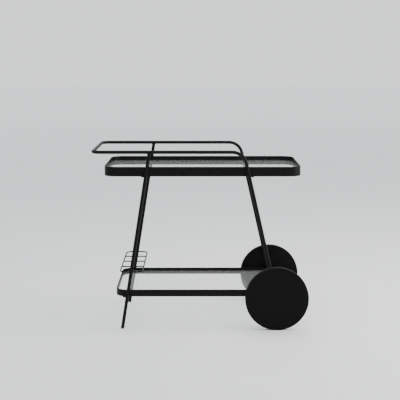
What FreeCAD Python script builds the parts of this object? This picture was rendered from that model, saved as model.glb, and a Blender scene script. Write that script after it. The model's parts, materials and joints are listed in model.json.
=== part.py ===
"""Bar cart on two large disc wheels: a bent tube frame, two rimmed glass trays and a wire bottle rack.

Millimetres. +X runs from the handle end to the wheel end, +Z is up, and the origin is on the floor under
the middle of the cart's outer box. "Right" and "left" are those of a person who holds the handle and looks
along +X, so right is -Y. Right-hand pieces are modelled at -Y, and left-hand pieces are their mirror image.
"""

import FreeCAD, Part
import math
import os

from FreeCAD import Vector

# ---- overall ----
overall_length = 1023.0        # outside of the handle's end bar to the wheels' far edge
handle_height = 842.0          # floor to the centreline of the handle rails
leg_plane = 239.0              # mid-plane of the cart to the centreline of the legs and rails

# ---- tube frame ----
tube_radius = 8.0
tube_wall = 1.5
handle_corner_radius = 38.0    # centreline, in plan
leg_bend_radius = 68.0         # centreline, where a rail turns down into a wheel leg
wheel_leg_slope = 0.229        # run over rise of a wheel leg
foot_leg_setback = 265.8       # end bar's centreline to where a foot leg meets the rail
foot_leg_run = 132.5           # how far a foot leg spreads towards the handle end, from rail to floor
sleeve_length = 50.0           # sleeve inside each rail's butt joint
sleeve_wall = 1.6

# ---- wheels ----
wheel_radius = 150.0
wheel_thickness = 24.0
wheel_leg_gap = 4.0            # leg to the wheel's inner face
tyre_thickness = 2.5
tyre_rib_width = 14.0
tyre_rib_height = 1.5
tyre_edge_radius = 1.6
disc_edge_chamfer = 0.6

# ---- axle, bearings and hub ----
boss_radius = 12.0
collar_radius = 8.5
journal_radius = 6.0
bearing_outer_radius = 14.0
bearing_width = 8.0
bearing_count = 2
bearing_shoulder = 2.0         # step in the wheel that stops the outer rings
ball_radius = 2.38
ball_count = 8
race_shoulder_share = 0.8      # height of a ring's shoulder, as a share of the ball's radius
ring_fit = 0.02                # ring to shaft and ring to pocket
ball_play = 0.1                # ball to inner raceway
circlip_thickness = 1.0
circlip_outer_radius = 8.5
circlip_groove_depth = 0.4
circlip_opening = 60.0         # degrees
flange_radius = 30.0
flange_thickness = 2.5
flange_bore_gap = 1.0          # flange to the axle's collar
flange_screw_circle = 22.0
flange_screw_count = 4
flange_screw_radius = 2.0
flange_screw_head_radius = 3.8
flange_screw_head_height = 1.9
flange_screw_length = 11.0
axle_lip = 0.7                 # axle beyond the circlip
axle_end_gap = 0.5             # axle's end to the bottom of its pocket

# ---- trays ----
tray_leg_gap = 0.5             # leg to the rims
tray_corner_radius = 55.0
rim_thickness = 3.0
rim_edge_radius = 0.8
top_handle_end_reach = 215.2   # foot leg at the rail to the top tray's end
top_wheel_end_reach = 112.8    # axle to the top tray's other end
top_rim_drop = 115.0           # handle rails' centreline to the top rim's lower edge
top_rim_height = 45.0
top_glass_drop = 21.0          # rim's top edge down to the glass
bottom_handle_end_reach = 31.3  # foot leg at the floor to the bottom shelf's end
bottom_wheel_end_reach = 53.0  # axle to the bottom shelf's other end
bottom_rim_lift = 2.0          # axle's centreline to the bottom rim's lower edge
bottom_rim_height = 33.0
bottom_glass_drop = 15.0
glass_thickness = 5.0
glass_gap = 1.0
glass_edge_chamfer = 0.8
pad_radius = 4.0
pad_thickness = 1.5

# ---- what holds the trays ----
bracket_reach = 14.0           # beyond the leg, towards the tray's end
bracket_thickness = 3.0
bracket_lap = 30.5             # how far a bracket reaches in under a tray
bracket_corner_radius = 6.0
lug_width = 16.0
lug_depth = 14.0
lug_edge_radius = 1.5
tab_width = 24.0
tab_thickness = 3.0
tab_end_inset = 78.0           # tray's end to the centre of the nearest tab
bracket_screw_radius = 2.5
bracket_screw_grip = 9.0       # length of screw inside the lug
bracket_screw_head_radius = 4.75
bracket_screw_head_height = 2.7
screw_socket_width = 3.0       # across flats
screw_socket_depth = 1.6
clearance_hole_gap = 0.4
tapped_hole_gap = 0.05
tapped_hole_runout = 1.0       # hole beyond the screw's end

# ---- feet ----
foot_pad_height = 4.0
foot_plug_length = 22.0
foot_plug_gap = 0.05

# ---- bottle rack ----
rack_lift = 118.5              # bottom rim's lower edge to the wires' centre
rack_half_width = 53.0
rack_corner_radius = 30.0      # centreline, in plan
rack_loop_radius = 3.2
rack_cross_radius = 3.0
rack_cells = 4

# ---- places that follow from the sizes above ----
end_bar_x = -overall_length / 2 + tube_radius
wheel_x = overall_length / 2 - wheel_radius
leg_outside = leg_plane + tube_radius
leg_inside = leg_plane - tube_radius
wheel_inside = leg_outside + wheel_leg_gap
wheel_outside = wheel_inside + wheel_thickness
disc_radius = wheel_radius - tyre_thickness
bend_corner_x = wheel_x - wheel_leg_slope * (handle_height - wheel_radius)
wheel_leg_angle = math.atan(wheel_leg_slope)
bend_tangent = leg_bend_radius * math.tan((math.pi / 2 - wheel_leg_angle) / 2)
rail_joint_x = bend_corner_x - bend_tangent - sleeve_length / 2
tray_half_depth = leg_inside - tray_leg_gap
foot_leg_top_x = end_bar_x + foot_leg_setback
top_tray_x = (foot_leg_top_x - top_handle_end_reach, wheel_x + top_wheel_end_reach)
bottom_shelf_x = (foot_leg_top_x - foot_leg_run - bottom_handle_end_reach, wheel_x + bottom_wheel_end_reach)
top_rim_bottom = handle_height - top_rim_drop
bottom_rim_bottom = wheel_radius + bottom_rim_lift
rack_height = bottom_rim_bottom + rack_lift
bearing_inside = wheel_inside + flange_thickness
bearing_outside = bearing_inside + bearing_count * bearing_width
axle_end = bearing_outside + circlip_thickness + axle_lip
pocket_bottom = axle_end + axle_end_gap
shoulder_radius = bearing_outer_radius - bearing_shoulder
pitch_radius = (bearing_outer_radius + journal_radius) / 2
race_shoulder = race_shoulder_share * ball_radius

CUTTER_LENGTH = 60.0           # spare length of a cutting solid
CUTTER_MARGIN = 1.0            # how far a cutting solid passes the face that it cuts
PARTS_FOLDER = "parts"


def save(name, *solids):
    """Writes the solids, each of them separate, as one node."""
    shape = solids[0] if len(solids) == 1 else Part.makeCompound(list(solids))
    shape.exportStep(os.path.join(PARTS_FOLDER, name + ".step"))


def mirrored(shape):
    """The left-hand twin of a right-hand shape."""
    return shape.mirror(Vector(0, 0, 0), Vector(0, 1, 0))


def save_pair(name, build):
    """Writes right_NAME and left_NAME from a function that makes the right-hand solids."""
    solids = build()
    save("right_" + name, *solids)
    save("left_" + name, *[mirrored(solid) for solid in solids])


def both_sides(solids):
    """Right-hand solids with their left-hand twins."""
    return solids + [mirrored(solid) for solid in solids]


def bent_path(points, radius, closed=False):
    """A wire of straight runs through the points, with a tangent arc at each corner."""
    count = len(points)
    corners = range(count) if closed else range(1, count - 1)
    arcs = {}
    for i in corners:
        before, corner, after = points[i - 1], points[i], points[(i + 1) % count]
        back = (before - corner).normalize()
        ahead = (after - corner).normalize()
        half_angle = back.getAngle(ahead) / 2
        tangent = radius / math.tan(half_angle)
        middle_way = (back + ahead).normalize()
        middle = corner + middle_way * (radius / math.sin(half_angle) - radius)
        arcs[i] = (corner + back * tangent, middle, corner + ahead * tangent)
    edges = []
    for i in range(count if closed else count - 1):
        following = (i + 1) % count
        start = arcs[i][2] if i in arcs else points[i]
        end = arcs[following][0] if following in arcs else points[following]
        edges.append(Part.LineSegment(start, end).toShape())
        if following in arcs:
            edges.append(Part.Arc(*arcs[following]).toShape())
    return Part.Wire(edges)


def rod(path, radius):
    """A round bar along a path."""
    first = path.Edges[0]
    start = first.valueAt(first.FirstParameter)
    direction = first.tangentAt(first.FirstParameter)
    profile = Part.Wire(Part.makeCircle(radius, start, direction))
    return path.makePipeShell([profile], True, False)


def tube(path, radius, wall):
    return rod(path, radius).cut(rod(path, radius - wall))


def cylinder_between(start, end, radius):
    return Part.makeCylinder(radius, (end - start).Length, start, end - start)


def wheel_disc(radius, inner, outer, x=None, z=None):
    """A cylinder across the cart at -Y, from one distance off the mid-plane to another."""
    centre = Vector(wheel_x if x is None else x, -inner, wheel_radius if z is None else z)
    return Part.makeCylinder(radius, outer - inner, centre, Vector(0, -1, 0))


def wheel_ring(outer_radius, inner_radius, inner, outer):
    return wheel_disc(outer_radius, inner, outer).cut(wheel_disc(inner_radius, inner, outer))


def horizontal_edges(shape, *heights):
    """The edges that lie in one of the horizontal planes."""
    return [e for e in shape.Edges
            if any(abs(e.BoundBox.ZMin - z) < 1e-4 and abs(e.BoundBox.ZMax - z) < 1e-4 for z in heights)]


def rounded_slab(x_range, half_depth, radius, bottom, top):
    """A slab with a rounded-rectangle outline, centred on the cart's mid-plane."""
    corner = Vector(x_range[0], -half_depth, bottom)
    box = Part.makeBox(x_range[1] - x_range[0], 2 * half_depth, top - bottom, corner)
    upright = [e for e in box.Edges if e.BoundBox.ZLength > (top - bottom) / 2]
    return box.makeFillet(radius, upright)


# ---- frame ----

def foot_leg_x(height):
    """X of a foot leg's centreline at a height."""
    return foot_leg_top_x - foot_leg_run * (handle_height - height) / handle_height


def wheel_leg_x(height):
    """X of a wheel leg's centreline at a height below its bend."""
    return wheel_x - wheel_leg_slope * (height - wheel_radius)


def foot_leg_rod(radius):
    """The foot leg's round outline, from the rail's centreline to below the floor."""
    top = Vector(foot_leg_top_x, -leg_plane, handle_height)
    low = -foot_plug_length
    return cylinder_between(top, Vector(foot_leg_x(low), -leg_plane, low), radius)


def below(height):
    """A block that fills the space under a foot leg, up to a height."""
    size = 4 * CUTTER_LENGTH
    corner = Vector(foot_leg_x(height) - size / 2, -leg_plane - size / 2, height - size)
    return Part.makeBox(size, size, size, corner)


def wheel_leg_path():
    return bent_path([Vector(rail_joint_x, -leg_plane, handle_height),
                      Vector(bend_corner_x, -leg_plane, handle_height),
                      Vector(wheel_x, -leg_plane, wheel_radius)], leg_bend_radius)


def handle_loop():
    """The two rails and the end bar: one tube bent to a U."""
    corners = [Vector(rail_joint_x, -leg_plane, handle_height), Vector(end_bar_x, -leg_plane, handle_height),
               Vector(end_bar_x, leg_plane, handle_height), Vector(rail_joint_x, leg_plane, handle_height)]
    return tube(bent_path(corners, handle_corner_radius), tube_radius, tube_wall)


def rail_sleeve():
    """A sleeve inside the butt joint between a rail and its wheel leg, just short of the bend."""
    start = Vector(rail_joint_x - sleeve_length / 2, -leg_plane, handle_height)
    axis = Part.LineSegment(start, start + Vector(sleeve_length, 0, 0)).toShape()
    return [tube(Part.Wire([axis]), tube_radius - tube_wall - foot_plug_gap, sleeve_wall)]


def wheel_leg():
    """A leg that bends out of the rail and ends on the axle's boss."""
    return [tube(wheel_leg_path(), tube_radius, tube_wall).cut(wheel_boss())]


def foot_leg():
    """A straight leg, coped to the rail above and cut level just above the floor."""
    leg = foot_leg_rod(tube_radius).cut(foot_leg_rod(tube_radius - tube_wall))
    rail = cylinder_between(Vector(foot_leg_top_x - CUTTER_LENGTH, -leg_plane, handle_height),
                            Vector(foot_leg_top_x + CUTTER_LENGTH, -leg_plane, handle_height), tube_radius)
    return [leg.cut(rail).cut(below(foot_pad_height))]


def foot():
    """A glide with a level pad under the leg and a plug inside it."""
    pad = foot_leg_rod(tube_radius).common(below(foot_pad_height)).cut(below(0))
    plug = foot_leg_rod(tube_radius - tube_wall - foot_plug_gap)
    plug = plug.common(below(foot_pad_height + foot_plug_length)).cut(below(foot_pad_height))
    return [pad.fuse(plug).removeSplitter()]


# ---- wheels ----

def wheel_boss():
    return wheel_disc(boss_radius, leg_inside, leg_outside)


def stub_axle():
    """Boss, collar and journal, turned from one bar and welded to the leg's end."""
    axle = wheel_boss().fuse(wheel_disc(collar_radius, leg_outside, bearing_inside))
    axle = axle.fuse(wheel_disc(journal_radius, bearing_inside, axle_end)).removeSplitter()
    groove = wheel_ring(journal_radius + CUTTER_MARGIN, journal_radius - circlip_groove_depth,
                        bearing_outside, bearing_outside + circlip_thickness)
    return [axle.cut(groove)]


def circlip():
    """An open spring ring in the journal's groove."""
    ring = wheel_ring(circlip_outer_radius, journal_radius - circlip_groove_depth,
                      bearing_outside, bearing_outside + circlip_thickness)
    half = math.radians(circlip_opening / 2)
    reach = 2 * circlip_outer_radius
    wedge = [Vector(wheel_x, -bearing_outside + CUTTER_MARGIN, wheel_radius)]
    wedge += [wedge[0] + Vector(math.sin(a), 0, math.cos(a)) * reach for a in (-half, half)]
    face = Part.Face(Part.makePolygon(wedge + wedge[:1]))
    return [ring.cut(face.extrude(Vector(0, -circlip_thickness - 2 * CUTTER_MARGIN, 0)))]


def bearing_middles():
    return [bearing_inside + (i + 0.5) * bearing_width for i in range(bearing_count)]


def raceway(middle, radius):
    """The ring-shaped space that the balls run in."""
    return Part.makeTorus(pitch_radius, radius, Vector(wheel_x, -middle, wheel_radius), Vector(0, 1, 0))


def bearing_rings(outer_radius, inner_radius, race_radius):
    half = bearing_width / 2
    return [wheel_ring(outer_radius, inner_radius, m - half, m + half).cut(raceway(m, race_radius))
            for m in bearing_middles()]


def bearing_outer_rings():
    return bearing_rings(bearing_outer_radius, pitch_radius + race_shoulder, ball_radius)


def bearing_inner_rings():
    return bearing_rings(pitch_radius - race_shoulder, journal_radius + ring_fit, ball_radius + ball_play)


def bearing_balls():
    balls = []
    for middle in bearing_middles():
        for i in range(ball_count):
            angle = 2 * math.pi * i / ball_count
            way = Vector(math.cos(angle), 0, math.sin(angle))
            centre = Vector(wheel_x, -middle, wheel_radius) + way * pitch_radius
            balls.append(Part.makeSphere(ball_radius, centre))
    return balls


def flange_screw_places():
    """X and Z of each flange screw."""
    places = []
    for i in range(flange_screw_count):
        angle = math.pi / 4 + 2 * math.pi * i / flange_screw_count
        places.append((wheel_x + flange_screw_circle * math.cos(angle),
                       wheel_radius + flange_screw_circle * math.sin(angle)))
    return places


def flange_screw(x, z, gap=0.0):
    """A countersunk screw, or the hole for it where a gap is given."""
    head = Part.makeCone(flange_screw_head_radius, flange_screw_radius + gap, flange_screw_head_height,
                         Vector(x, -wheel_inside, z), Vector(0, -1, 0))
    shank_end = wheel_inside + flange_screw_length + gap
    shank = wheel_disc(flange_screw_radius + gap, wheel_inside, shank_end, x, z)
    return head.fuse(shank).removeSplitter()


def flange_screws():
    screws = []
    for x, z in flange_screw_places():
        way = Vector(x, -wheel_inside, z)
        socket = Part.makeCylinder(screw_socket_width / 2, screw_socket_depth, way, Vector(0, -1, 0))
        screws.append(flange_screw(x, z).cut(socket))
    return screws


def hub_flange():
    """The plate that keeps the bearings in the wheel, flush with its inner face."""
    flange = wheel_ring(flange_radius, collar_radius + flange_bore_gap, wheel_inside, bearing_inside)
    for x, z in flange_screw_places():
        flange = flange.cut(flange_screw(x, z, tapped_hole_gap))
    return [flange]


def wheel():
    """A solid disc, closed on its outer face, with a pocket for the bearings in its inner face."""
    disc = wheel_disc(disc_radius, wheel_inside, wheel_outside)
    rims = [e for e in disc.Edges if e.BoundBox.YLength < 1e-4]
    disc = disc.makeChamfer(disc_edge_chamfer, rims)
    disc = disc.cut(wheel_disc(flange_radius + ring_fit, wheel_inside, bearing_inside))
    disc = disc.cut(wheel_disc(bearing_outer_radius + ring_fit, wheel_inside, bearing_outside))
    disc = disc.cut(wheel_disc(shoulder_radius, wheel_inside, pocket_bottom))
    for x, z in flange_screw_places():
        disc = disc.cut(flange_screw(x, z, tapped_hole_gap))
    return [disc.cut(tyre_rib())]


def tyre_rib():
    middle = (wheel_inside + wheel_outside) / 2
    return wheel_ring(disc_radius + CUTTER_MARGIN, disc_radius - tyre_rib_height,
                      middle - tyre_rib_width / 2, middle + tyre_rib_width / 2)


def tyre():
    """A rubber tread whose inner rib sits in the disc's groove."""
    band = wheel_disc(wheel_radius, wheel_inside, wheel_outside)
    shoulders = [e for e in band.Edges if e.BoundBox.YLength < 1e-4]
    band = band.makeFillet(tyre_edge_radius, shoulders)
    band = band.cut(wheel_disc(disc_radius, wheel_inside, wheel_outside))
    return [band.fuse(tyre_rib()).removeSplitter()]


# ---- trays ----

class Tray:
    """One rimmed glass tray and everything that holds it."""

    def __init__(self, x_range, rim_bottom, rim_height, glass_drop, bracket_places, tab_places):
        self.x_range = x_range
        self.rim_bottom = rim_bottom
        self.rim_top = rim_bottom + rim_height
        self.glass_top = self.rim_top - glass_drop
        self.glass_bottom = self.glass_top - glass_thickness
        self.seat = self.glass_bottom - pad_thickness
        self.bracket_places = bracket_places
        self.tab_places = tab_places

    def inset(self, distance, bottom, top):
        """A slab that lies a distance inside the rim's outline."""
        x_range = (self.x_range[0] + distance, self.x_range[1] - distance)
        return rounded_slab(x_range, tray_half_depth - distance, tray_corner_radius - distance, bottom, top)

    def rim(self):
        """A flat steel band, bent round and standing on edge."""
        band = self.inset(0, self.rim_bottom, self.rim_top)
        band = band.cut(self.inset(rim_thickness, self.rim_bottom, self.rim_top))
        return band.makeFillet(rim_edge_radius, horizontal_edges(band, self.rim_bottom, self.rim_top))

    def glass(self):
        pane = self.inset(rim_thickness + glass_gap, self.glass_bottom, self.glass_top)
        edges = horizontal_edges(pane, self.glass_bottom, self.glass_top)
        return pane.makeChamfer(glass_edge_chamfer, edges)

    def bracket(self, x, around):
        """A plate under the rim, welded to a leg and reaching past it towards the tray's end."""
        start = x - tube_radius if x > 0 else x - tube_radius - bracket_reach
        bottom = self.rim_bottom - bracket_thickness
        depth = leg_plane - tray_half_depth + bracket_lap
        plate = Part.makeBox(2 * tube_radius + bracket_reach, depth, bracket_thickness,
                             Vector(start, -leg_plane, bottom))
        upright = [e for e in plate.Edges if e.BoundBox.ZLength > bracket_thickness / 2]
        plate = plate.makeFillet(bracket_corner_radius, upright)
        hole_radius = bracket_screw_radius + clearance_hole_gap
        hole = self.upright(x, hole_radius, self.rim_bottom - bracket_thickness, self.rim_bottom)
        return plate.cut(around).cut(hole)

    def upright(self, x, radius, bottom, top):
        """A vertical cylinder on the axis of a bracket's screw."""
        return Part.makeCylinder(radius, top - bottom, Vector(x, -self.screw_line(), bottom))

    def screw_line(self):
        return tray_half_depth - rim_thickness - lug_depth / 2

    def brackets(self):
        return both_sides([self.bracket(x, around) for x, around in self.bracket_places])

    def block(self, x, width, bottom):
        """A block against the rim's inner face, up to the glass pads."""
        corner = Vector(x - width / 2, -tray_half_depth + rim_thickness, bottom)
        block = Part.makeBox(width, lug_depth, self.seat - bottom, corner)
        inner = [e for e in block.Edges
                 if e.BoundBox.ZLength > 1 and e.BoundBox.YMin > corner.y + lug_depth / 2]
        block = block.makeFillet(lug_edge_radius, inner)
        return block.common(self.inset(rim_thickness, bottom, self.seat))

    def lugs(self):
        """Tapped blocks welded inside the rim, over the brackets."""
        hole_radius = bracket_screw_radius + tapped_hole_gap
        lugs = []
        for x, _ in self.bracket_places:
            hole_top = self.rim_bottom + bracket_screw_grip + tapped_hole_runout
            hole = self.upright(x, hole_radius, self.rim_bottom, hole_top)
            lugs.append(self.block(x, lug_width, self.rim_bottom).cut(hole))
        return both_sides(lugs)

    def tabs(self):
        """Flat rests for the glass, welded inside the rim."""
        return both_sides([self.block(x, tab_width, self.seat - tab_thickness) for x in self.tab_places])

    def pads(self):
        """Soft discs between the glass and what carries it."""
        places = [x for x, _ in self.bracket_places] + list(self.tab_places)
        return both_sides([self.upright(x, pad_radius, self.seat, self.glass_bottom) for x in places])

    def screw(self, x):
        """A button-head screw, from below through the bracket into the lug."""
        head_top = self.rim_bottom - bracket_thickness
        head_bottom = head_top - bracket_screw_head_height
        head = self.upright(x, bracket_screw_head_radius, head_bottom, head_top)
        head = head.makeFillet(bracket_screw_head_height / 2, horizontal_edges(head, head_bottom))
        shank = self.upright(x, bracket_screw_radius, head_top, self.rim_bottom + bracket_screw_grip)
        centre = Vector(x, -self.screw_line(), head_bottom)
        corner_radius = screw_socket_width / math.sqrt(3)
        corners = [centre + Vector(math.cos(a), math.sin(a), 0) * corner_radius
                   for a in (math.pi / 3 * i for i in range(6))]
        socket = Part.Face(Part.makePolygon(corners + corners[:1])).extrude(Vector(0, 0, screw_socket_depth))
        return head.fuse(shank).removeSplitter().cut(socket)

    def screws(self):
        return both_sides([self.screw(x) for x, _ in self.bracket_places])

    def save(self, name):
        save(name + "_rim", self.rim())
        save(name + "_glass", self.glass())
        save(name + "_glass_pads", *self.pads())
        save(name + "_lugs", *self.lugs())
        save(name + "_glass_tabs", *self.tabs())
        save(name + "_brackets", *self.brackets())
        save(name + "_screws", *self.screws())


def bracket_legs(rim_bottom):
    """X of the two legs where they pass the brackets under a rim."""
    level = rim_bottom - bracket_thickness / 2
    return foot_leg_x(level), wheel_leg_x(level)


def top_tray():
    foot_x, wheel_end_x = bracket_legs(top_rim_bottom)
    brackets = [(foot_x, foot_leg_rod(tube_radius)), (wheel_end_x, rod(wheel_leg_path(), tube_radius))]
    tabs = [top_tray_x[0] + tab_end_inset, top_tray_x[1] - tab_end_inset]
    return Tray(top_tray_x, top_rim_bottom, top_rim_height, top_glass_drop, brackets, tabs)


def bottom_shelf():
    foot_x, wheel_end_x = bracket_legs(bottom_rim_bottom)
    brackets = [(foot_x, foot_leg_rod(tube_radius)), (wheel_end_x, wheel_boss())]
    return Tray(bottom_shelf_x, bottom_rim_bottom, bottom_rim_height, bottom_glass_drop, brackets,
                [sum(bottom_shelf_x) / 2])


# ---- bottle rack ----

def rack_loop():
    """The rack's outer wire, which touches the inside of both foot legs."""
    x = foot_leg_x(rack_height)
    half_depth = leg_inside - rack_loop_radius
    corners = [Vector(x + i * rack_half_width, j * half_depth, rack_height)
               for i, j in ((-1, -1), (1, -1), (1, 1), (-1, 1))]
    return rod(bent_path(corners, rack_corner_radius, closed=True), rack_loop_radius)


def rack_cross_wires(loop):
    """The wires that part the rack into cells, coped to the loop wire."""
    x = foot_leg_x(rack_height)
    half_depth = leg_inside - rack_loop_radius
    wires = []
    for i in range(1, rack_cells):
        y = -half_depth + 2 * half_depth * i / rack_cells
        wire = cylinder_between(Vector(x - rack_half_width, y, rack_height),
                                Vector(x + rack_half_width, y, rack_height), rack_cross_radius)
        wires.append(wire.cut(loop))
    return wires


def build():
    os.makedirs(PARTS_FOLDER, exist_ok=True)
    save("handle_loop", handle_loop())
    save_pair("rail_sleeve", rail_sleeve)
    save_pair("wheel_leg", wheel_leg)
    save_pair("foot_leg", foot_leg)
    save_pair("foot", foot)
    save_pair("stub_axle", stub_axle)
    save_pair("circlip", circlip)
    save_pair("bearing_inner_rings", bearing_inner_rings)
    save_pair("bearing_outer_rings", bearing_outer_rings)
    save_pair("bearing_balls", bearing_balls)
    save_pair("hub_flange", hub_flange)
    save_pair("hub_flange_screws", flange_screws)
    save_pair("wheel", wheel)
    save_pair("tyre", tyre)
    top_tray().save("top_tray")
    bottom_shelf().save("bottom_shelf")
    loop = rack_loop()
    save("rack_loop_wire", loop)
    save("rack_cross_wires", *rack_cross_wires(loop))


build()
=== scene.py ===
"""Looks of the bar cart: finishes for the CAD nodes, weld beads, and the studio."""

import json
import math

import bmesh
import bpy
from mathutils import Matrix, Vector, noise


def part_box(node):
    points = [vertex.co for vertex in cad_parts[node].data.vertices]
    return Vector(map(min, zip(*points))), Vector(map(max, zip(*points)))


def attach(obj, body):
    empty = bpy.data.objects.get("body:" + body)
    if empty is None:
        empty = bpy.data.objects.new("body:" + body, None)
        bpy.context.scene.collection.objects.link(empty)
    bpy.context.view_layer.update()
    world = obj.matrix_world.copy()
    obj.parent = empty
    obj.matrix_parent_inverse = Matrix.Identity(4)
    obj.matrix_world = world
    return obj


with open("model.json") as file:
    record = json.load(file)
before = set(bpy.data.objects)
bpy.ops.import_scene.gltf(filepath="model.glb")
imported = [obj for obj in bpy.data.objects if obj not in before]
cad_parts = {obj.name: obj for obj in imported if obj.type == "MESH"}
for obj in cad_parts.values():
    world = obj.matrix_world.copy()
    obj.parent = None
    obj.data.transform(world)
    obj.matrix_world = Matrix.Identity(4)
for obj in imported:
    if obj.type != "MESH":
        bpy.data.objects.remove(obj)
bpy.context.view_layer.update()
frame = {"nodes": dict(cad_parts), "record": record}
nodes = frame["nodes"]


# ---- node materials ----

class Shader:
    """A material under construction: a Principled shader with helpers for procedural detail."""

    def __init__(self, name, colour, **sockets):
        self.material = bpy.data.materials.new(name)
        self.material.use_nodes = True
        self.tree = self.material.node_tree
        self.principled = self.tree.nodes["Principled BSDF"]
        self.principled.inputs["Base Color"].default_value = (*colour, 1)
        for socket, value in sockets.items():
            self.principled.inputs[socket.replace("_", " ")].default_value = value
        self.place = self.add("ShaderNodeTexCoord").outputs["Object"]

    def add(self, kind, **settings):
        node = self.tree.nodes.new(kind)
        for key, value in settings.items():
            setattr(node, key, value)
        return node

    def put(self, socket, value):
        """Links an output to a socket, or sets the socket to a number or colour."""
        if isinstance(value, bpy.types.NodeSocket):
            self.tree.links.new(value, socket)
        else:
            socket.default_value = value

    def noise(self, scale, detail, roughness=0.5, stretch=None):
        node = self.add("ShaderNodeTexNoise")
        self.put(node.inputs["Scale"], scale)
        self.put(node.inputs["Detail"], detail)
        self.put(node.inputs["Roughness"], roughness)
        self.put(node.inputs["Vector"], self.stretched(stretch) if stretch else self.place)
        return node.outputs["Fac"]

    def stretched(self, factors):
        mapping = self.add("ShaderNodeMapping")
        self.put(mapping.inputs["Scale"], factors)
        self.put(mapping.inputs["Vector"], self.place)
        return mapping.outputs["Vector"]

    def spread(self, value, low, high, new_low, new_high):
        """Maps a range of values onto another, clamped."""
        node = self.add("ShaderNodeMapRange")
        for socket, number in zip(node.inputs[:5], (value, low, high, new_low, new_high)):
            self.put(socket, number)
        return node.outputs["Result"]

    def mask(self, value, low, high):
        """0 up to low, 1 from high on, and an even slope between."""
        return self.spread(value, low, high, 0.0, 1.0)

    def math(self, operation, a, b=0.0):
        node = self.add("ShaderNodeMath", operation=operation)
        self.put(node.inputs[0], a)
        self.put(node.inputs[1], b)
        return node.outputs[0]

    def blend(self, factor, a, b):
        node = self.add("ShaderNodeMix", data_type="RGBA")
        self.put(node.inputs["Factor"], factor)
        self.put(node.inputs[6], a if isinstance(a, bpy.types.NodeSocket) else (*a, 1))
        self.put(node.inputs[7], b if isinstance(b, bpy.types.NodeSocket) else (*b, 1))
        return node.outputs[2]

    def coordinate(self, axis):
        node = self.add("ShaderNodeSeparateXYZ")
        self.put(node.inputs[0], self.place)
        return node.outputs[axis]

    def edge(self, radius):
        """1 on sharp convex or concave edges, 0 on flat faces."""
        bevel = self.add("ShaderNodeBevel", samples=4)
        self.put(bevel.inputs["Radius"], radius)
        flat = self.add("ShaderNodeNewGeometry").outputs["Normal"]
        dot = self.add("ShaderNodeVectorMath", operation="DOT_PRODUCT")
        self.put(dot.inputs[0], bevel.outputs["Normal"])
        self.put(dot.inputs[1], flat)
        return self.spread(dot.outputs["Value"], 0.97, 0.75, 0.0, 1.0)

    def colour(self, value):
        self.put(self.principled.inputs["Base Color"], value)

    def roughness(self, value):
        self.put(self.principled.inputs["Roughness"], value)

    def bump(self, *layers):
        """Stacks (height, strength, distance) layers onto the normal."""
        normal = None
        for value, strength, distance in layers:
            node = self.add("ShaderNodeBump")
            self.put(node.inputs["Strength"], strength)
            self.put(node.inputs["Distance"], distance)
            self.put(node.inputs["Height"], value)
            if normal:
                self.put(node.inputs["Normal"], normal)
            normal = node.outputs["Normal"]
        self.put(self.principled.inputs["Normal"], normal)


def powder_coat():
    """Satin black powder coat: orange peel, fine grain, paler edges and faint handling marks."""
    s = Shader("powder_coat", (0.004, 0.004, 0.0042), Specular_IOR_Level=0.1)
    darker, lighter = (0.0019, 0.0019, 0.0020), (0.0035, 0.0036, 0.0038)
    worn, worn_share = (0.02, 0.02, 0.021), 0.35
    handling_roughness = 0.07
    mottle = s.noise(55, 4)
    handled = s.mask(s.noise(14, 5, 0.6), 0.52, 0.72)
    edge = s.edge(0.0012)
    tone = s.blend(s.mask(mottle, 0.35, 0.65), darker, lighter)
    s.colour(s.blend(s.math("MULTIPLY", edge, worn_share), tone, worn))
    base = s.spread(mottle, 0.3, 0.7, 0.42, 0.50)
    s.roughness(s.math("ADD", base, s.math("MULTIPLY", handled, handling_roughness)))
    orange_peel, grain = s.noise(420, 2), s.noise(1900, 2)
    s.bump((orange_peel, 0.10, 0.0003), (grain, 0.05, 0.0001))
    return s.material


def wheel_finish():
    """Matt black disc with a fine moulded grain and slightly paler edges."""
    s = Shader("wheel_finish", (0.003, 0.003, 0.003), Specular_IOR_Level=0.075)
    darker, lighter = (0.0022, 0.0023, 0.0023), (0.0038, 0.0039, 0.0038)
    worn, worn_share = (0.02, 0.02, 0.02), 0.3
    mottle = s.noise(22, 5, 0.55)
    tone = s.blend(s.mask(mottle, 0.35, 0.65), darker, lighter)
    edge = s.edge(0.001)
    s.colour(s.blend(s.math("MULTIPLY", edge, worn_share), tone, worn))
    s.roughness(s.spread(mottle, 0.3, 0.7, 0.52, 0.62))
    coarse, fine = s.noise(650, 3), s.noise(2600, 2)
    s.bump((coarse, 0.22, 0.0003), (fine, 0.15, 0.0001))
    return s.material


def tyre_rubber():
    """Dry black rubber with greyer, scuffed patches and the mould's parting line."""
    s = Shader("tyre_rubber", (0.004, 0.004, 0.004), Specular_IOR_Level=0.1)
    clean, scuffed = (0.0032, 0.0032, 0.0032), (0.0075, 0.0074, 0.0072)
    scuff = s.mask(s.noise(90, 6, 0.65), 0.45, 0.7)
    s.colour(s.blend(scuff, clean, scuffed))
    s.roughness(s.spread(scuff, 0.0, 1.0, 0.66, 0.82))
    tyre_low, tyre_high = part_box("left_tyre")
    middle = (tyre_low.y + tyre_high.y) / 2
    off_middle = s.math("SUBTRACT", s.math("ABSOLUTE", s.coordinate("Y")), middle)
    parting = s.spread(s.math("ABSOLUTE", off_middle), 0.00015, 0.0005, 1.0, 0.0)
    coarse, fine = s.noise(300, 4, 0.6), s.noise(1500, 2)
    s.bump((parting, 0.6, 0.0003), (coarse, 0.25, 0.0003), (fine, 0.2, 0.0001))
    return s.material


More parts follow.
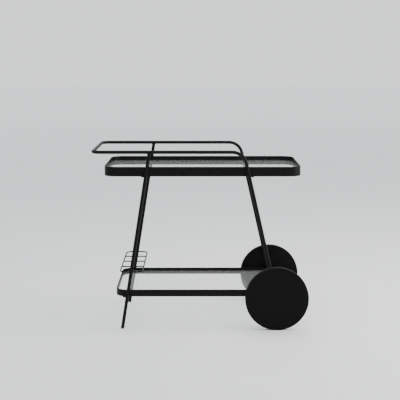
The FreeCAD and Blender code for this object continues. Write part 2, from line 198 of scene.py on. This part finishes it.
def clear_glass():
    """Thin clear glass with faint smears and a pale grey film, stronger at a grazing angle, that is
    partly dust and partly a painted reflection.
    """
    s = Shader("clear_glass", (0.50, 0.51, 0.507), Specular_IOR_Level=0.5)
    smear = s.mask(s.noise(9, 3, 0.5), 0.35, 0.75)
    s.roughness(s.spread(smear, 0.0, 1.0, 0.02, 0.03))
    # The pale grey colour is partly a painted reflection and partly a dusty film; the alpha lets more
    # of it show at a grazing angle.
    s.colour(s.blend(smear, (0.49, 0.502, 0.499), (0.52, 0.53, 0.527)))
    grazing = s.add("ShaderNodeLayerWeight").outputs["Facing"]
    s.put(s.principled.inputs["Alpha"], s.spread(grazing, 0.45, 0.88, 0.025, 0.16))
    return s.material


def moulded(name, colour, roughness):
    """Fine-grained moulded plastic or soft rubber."""
    s = Shader(name, colour)
    grain = s.noise(700, 3)
    lighter = tuple(1.5 * c for c in colour)
    s.colour(s.blend(s.mask(s.noise(120, 3), 0.35, 0.65), colour, lighter))
    s.roughness(s.spread(grain, 0.3, 0.7, roughness - 0.06, roughness + 0.06))
    s.bump((grain, 0.2, 0.0002))
    return s.material


def steel(name, colour, roughness, stretch, painted_within=0.0):
    """Metal with fine marks, scaled on each axis, and painted black near the cart's middle plane."""
    s = Shader(name, colour)
    marks = s.noise(260, 4, 0.6, stretch=stretch)
    darker = tuple(0.7 * c for c in colour)
    paint, paint_fade = (0.0028, 0.0028, 0.0029), 0.0002
    off_middle = s.math("ABSOLUTE", s.coordinate("Y"))
    bare = s.mask(off_middle, painted_within, painted_within + paint_fade)
    tone = s.blend(s.mask(marks, 0.35, 0.65), darker, colour)
    s.colour(s.blend(bare, paint, tone))
    s.put(s.principled.inputs["Metallic"], bare)
    polish = s.spread(marks, 0.3, 0.7, roughness - 0.08, roughness + 0.1)
    s.roughness(s.math("ADD", polish, s.spread(bare, 0.0, 1.0, 0.14, 0.0)))
    s.bump((marks, 0.15, 0.0001))
    return s.material


finishes = {
    "frame_black": powder_coat(),
    "wheel_black": wheel_finish(),
    "tyre_black": tyre_rubber(),
    "foot_black": moulded("foot_plastic", (0.010, 0.010, 0.010), 0.55),
    "clear_glass": clear_glass(),
    "pad_clear": moulded("pad_rubber", (0.10, 0.10, 0.10), 0.6),
    "screw_black": steel("black_oxide", (0.035, 0.035, 0.038), 0.38, (1, 1, 1)),
    "inner_steel": steel("turned_steel", (0.45, 0.45, 0.46), 0.32, (1, 12, 1),
                         painted_within=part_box("left_wheel")[0].y),
    "bearing_steel": steel("ground_steel", (0.55, 0.55, 0.56), 0.22, (1, 12, 1)),
}

for part in frame["record"]["subparts"]:
    for slot in nodes[part["node"]].material_slots:
        slot.material = finishes[part["material_slot"]]


# ---- weld beads ----

# These repeat the CAD model's sizes, in metres, and one slope.
tube_radius = 0.008
foot_leg_run = 0.1325          # how far a foot leg spreads on its way from the rail to the floor
wheel_leg_slope = 0.229        # how far a wheel leg leans for each unit of height
lug_half_width = 0.008
rack_cross_radius = 0.003

# The radius of each kind of bead.
rail_bead = 0.0014
bracket_bead = 0.0012
small_bead = 0.0011            # at the axle's boss, the lugs and the rack's ends
wire_bead = 0.0007

bead_sides = 10
ripple_pitch = 0.0015
ripple_depth = 0.16            # as a share of the bead's radius
unevenness = 0.12              # as a share of the bead's radius
unevenness_scale = 700
end_size = 0.35                # share of the radius at an open end
end_growth = 0.3               # share gained with each ring from there

rim_clearance = 0.0001         # between the boss's beads and the lower shelf's rim
bracket_bead_margin = 0.04     # share of the half turn left bare at each end
lug_bead_margin = 0.0015       # left bare above and below a lug's bead
rack_bead_offset = 0.0026      # above and below the middle of the loop wire
rack_bead_half_length = 0.0042
rack_bead_lift = 0.0005        # from the leg's surface to the middle of the bead


def add_bead(mesh, points, centre, radius, closed=False):
    """Adds weld metal along a line: a rippled, slightly uneven roll whose open ends taper off."""
    rings, travelled = [], 0.0
    last = len(points) - 1
    for i, point in enumerate(points):
        before = points[i - 1] if closed else points[max(i - 1, 0)]
        after = points[(i + 1) % len(points)] if closed else points[min(i + 1, last)]
        along = (after - before).normalized()
        side = along.cross(point - centre).normalized()
        out = side.cross(along)
        travelled += (point - before).length
        crest = abs(math.cos(math.pi * travelled / ripple_pitch))
        size = radius * (1 - ripple_depth + ripple_depth * crest)
        size *= 1 + unevenness * noise.noise(point * unevenness_scale)
        if not closed:
            size *= min(1, end_size + end_growth * min(i, last - i))
        turns = [2 * math.pi * k / bead_sides for k in range(bead_sides)]
        rings.append([mesh.verts.new(point + (out * math.cos(a) + side * math.sin(a)) * size)
                      for a in turns])
    pairs = list(zip(rings, rings[1:])) + ([(rings[-1], rings[0])] if closed else [])
    for near, far in pairs:
        for k in range(bead_sides):
            mesh.faces.new((near[k], near[k - 1], far[k - 1], far[k]))
    if not closed:
        mesh.faces.new(rings[0])
        mesh.faces.new(rings[-1][::-1])


def saddle(joint, branch, branch_radius, main, main_radius, count):
    """The closed line where a round branch leaves a round bar; joint lies on both axes."""
    side = branch.cross(main).normalized()
    up = side.cross(branch)
    across = branch - main * branch.dot(main)
    line = []
    for i in range(count):
        turn = 2 * math.pi * i / count
        start = (side * math.cos(turn) + up * math.sin(turn)) * branch_radius
        flat = start - main * start.dot(main)
        b = flat.dot(across)
        c = flat.length_squared - main_radius ** 2
        reach = (math.sqrt(max(b * b - across.length_squared * c, 0)) - b) / across.length_squared
        line.append(joint + start + branch * reach)
    return line


def straight(start, end, count):
    return [start.lerp(end, i / (count - 1)) for i in range(count)]


def weld_piece(name, mesh):
    bmesh.ops.recalc_face_normals(mesh, faces=mesh.faces)
    data = bpy.data.meshes.new(name)
    mesh.to_mesh(data)
    mesh.free()
    data.polygons.foreach_set("use_smooth", [True] * len(data.polygons))
    data.materials.append(finishes["frame_black"])
    piece = bpy.data.objects.new(name, data)
    bpy.context.collection.objects.link(piece)
    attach(piece, "cart_frame")


handle_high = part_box("handle_loop")[1]
rail_height = handle_high.z - tube_radius
leg_plane = handle_high.y - tube_radius
mounts = {mount["name"]: Vector(mount["pos_m"]) for mount in frame["record"]["mounts"]}
foot_x = mounts["right_foot_base"].x
axle_low, axle_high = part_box("right_stub_axle")
axle_x, axle_height = (axle_low.x + axle_high.x) / 2, (axle_low.z + axle_high.z) / 2
boss_radius = (axle_high.z - axle_low.z) / 2
foot_leg_way = Vector((foot_leg_run, 0, rail_height)).normalized()
wheel_leg_way = Vector((-wheel_leg_slope, 0, 1)).normalized()


def foot_leg_at(height):
    return foot_x + foot_leg_run * height / rail_height


def wheel_leg_at(height):
    return axle_x - wheel_leg_slope * (height - axle_height)


def leg_welds():
    """Beads round each foot leg at the rail and round each wheel leg at the axle's boss."""
    mesh = bmesh.new()
    for y in (-leg_plane, leg_plane):
        joint = Vector((axle_x, y, axle_height))
        line = saddle(joint, wheel_leg_way, tube_radius, Vector((0, 1, 0)), boss_radius, count=170)
        add_bead(mesh, line, joint, small_bead, closed=True)
    # The boss's beads are dressed flat on their inner side, clear of the lower shelf's rim.
    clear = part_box("bottom_shelf_rim")[1].y + rim_clearance
    for vert in mesh.verts:
        if abs(vert.co.y) < clear:
            vert.co.y = math.copysign(clear, vert.co.y)
    for y in (-leg_plane, leg_plane):
        joint = Vector((foot_leg_at(rail_height), y, rail_height))
        line = saddle(joint, -foot_leg_way, tube_radius, Vector((1, 0, 0)), tube_radius, count=170)
        add_bead(mesh, line, joint, rail_bead, closed=True)
    weld_piece("leg_welds", mesh)


def bracket_welds():
    """Beads under each bracket, where its cope meets the leg or the axle's boss."""
    mesh = bmesh.new()
    foot_leg, wheel_leg = (foot_leg_at, foot_leg_way), (wheel_leg_at, wheel_leg_way)
    for node, legs in (("top_tray_brackets", (foot_leg, wheel_leg)),
                       ("bottom_shelf_brackets", (foot_leg,))):
        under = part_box(node)[0].z
        for leg_at, way in legs:
            for inward, y in ((1, -leg_plane), (-1, leg_plane)):
                centre = Vector((leg_at(under), y, under))
                line = []
                for i in range(80):
                    turn = math.pi * (bracket_bead_margin + (1 - 2 * bracket_bead_margin) * i / 79)
                    line.append(centre + Vector((tube_radius / way.z * math.cos(turn),
                                                 inward * tube_radius * math.sin(turn), 0)))
                add_bead(mesh, line, centre, bracket_bead)
    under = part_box("bottom_shelf_brackets")[0].z
    for y in (-leg_plane, leg_plane):
        inner = y - math.copysign(tube_radius, y)
        x = axle_x + math.sqrt(boss_radius ** 2 - (axle_height - under) ** 2)
        line = straight(Vector((x, y, under)), Vector((x, inner, under)), count=24)
        add_bead(mesh, line, Vector((axle_x, inner, axle_height)), small_bead)
    weld_piece("bracket_welds", mesh)


def lug_welds():
    """Upright beads where each lug's sides meet the rim's inner face."""
    mesh = bmesh.new()
    for tray in ("top_tray", "bottom_shelf"):
        low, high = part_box(tray + "_lugs")
        level = (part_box(tray + "_brackets")[0].z + low.z) / 2
        for x in (foot_leg_at(level), wheel_leg_at(level)):
            for side in (-lug_half_width, lug_half_width):
                for y in (low.y, high.y):
                    bottom = Vector((x + side, y, low.z + lug_bead_margin))
                    top = Vector((x + side, y, high.z - lug_bead_margin))
                    line = straight(bottom, top, count=40)
                    add_bead(mesh, line, Vector((x, 0, low.z)), small_bead)
    weld_piece("lug_welds", mesh)


def rack_welds():
    """Beads where the cross wires meet the loop and where the loop meets the foot legs."""
    mesh = bmesh.new()
    low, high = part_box("rack_loop_wire")
    wire_radius = (high.z - low.z) / 2
    level = (high.z + low.z) / 2
    side_y = high.y - wire_radius
    for y in (-side_y / 2, 0, side_y / 2):
        for x, way in ((low.x + wire_radius, 1), (high.x - wire_radius, -1)):
            joint = Vector((x, y, level))
            wire_way = Vector((way, 0, 0))
            line = saddle(joint, wire_way, rack_cross_radius, Vector((0, 1, 0)), wire_radius, count=72)
            add_bead(mesh, line, joint, wire_bead, closed=True)
    for inward, leg_y in ((1, -leg_plane), (-1, leg_plane)):
        for height in (level - rack_bead_offset, level + rack_bead_offset):
            line = []
            for i in range(25):
                across = -rack_bead_half_length + 2 * rack_bead_half_length * i / 24
                surface = math.sqrt(tube_radius ** 2 - across ** 2) + rack_bead_lift
                line.append(Vector((foot_leg_at(height) + across, leg_y + inward * surface, height)))
            add_bead(mesh, line, Vector((foot_leg_at(height), leg_y, height)), small_bead)
    weld_piece("rack_welds", mesh)


leg_welds()
bracket_welds()
lug_welds()
rack_welds()


# ---- studio ----

def build_floor():
    """A pale floor that lightens with distance, so that it meets the world without a line."""
    bpy.ops.mesh.primitive_circle_add(vertices=96, radius=30, fill_type="NGON", location=(0, 0, 0))
    floor = bpy.context.object
    floor.name = "studio_floor"
    s = Shader("studio_floor", (0.5, 0.5, 0.5), Specular_IOR_Level=0.2)
    far = (0.95, 0.965, 0.97)
    cloud = s.mask(s.noise(1.2, 6, 0.6), 0.3, 0.7)
    near = s.blend(cloud, (0.70, 0.71, 0.72), (0.74, 0.745, 0.75))
    gradient = s.add("ShaderNodeTexGradient", gradient_type="SPHERICAL")
    s.put(gradient.inputs["Vector"], s.stretched((0.04, 0.04, 0.04)))
    s.colour(s.blend(s.mask(gradient.outputs["Fac"], 0.35, 0.9), far, near))
    s.roughness(s.spread(cloud, 0.0, 1.0, 0.45, 0.55))
    floor.data.materials.append(s.material)


def area_light(name, place, target, size, power, size_y=None):
    data = bpy.data.lights.new(name, "AREA")
    data.shape = "RECTANGLE"
    data.size = size
    data.size_y = size_y or size
    data.energy = power
    light = bpy.data.objects.new(name, data)
    light.location = place
    light.rotation_euler = (Vector(target) - Vector(place)).to_track_quat("-Z", "Y").to_euler()
    bpy.context.collection.objects.link(light)


def build_world():
    world = bpy.data.worlds.new("studio")
    bpy.context.scene.world = world
    world.use_nodes = True
    background = world.node_tree.nodes["Background"]
    background.inputs["Color"].default_value = (0.93, 0.95, 0.97, 1)
    background.inputs["Strength"].default_value = 1.35


def build_camera():
    """The photograph's viewpoint and focal length, with its shift mostly turned into pitch."""
    focal_length_px, frame_px, sensor_mm = 950, 400, 36
    pitch_down, turn = 6.66, -0.085   # degrees
    data = bpy.data.cameras.new("camera")
    data.sensor_width = sensor_mm
    data.lens = focal_length_px / frame_px * sensor_mm
    data.shift_y = -0.1
    camera = bpy.data.objects.new("camera", data)
    camera.location = (-0.008, -4.6373, 1.3192)
    camera.rotation_euler = (math.radians(90 - pitch_down), 0, math.radians(turn))
    bpy.context.collection.objects.link(camera)
    bpy.context.scene.camera = camera


build_floor()
area_light("overhead", (0.3, 0.2, 3.4), (0, 0, 0.4), size=3.2, power=80)
area_light("right_panel", (3.6, -0.6, 1.9), (0, 0, 0.6), size=1.8, power=150, size_y=1.5)
build_world()
build_camera()
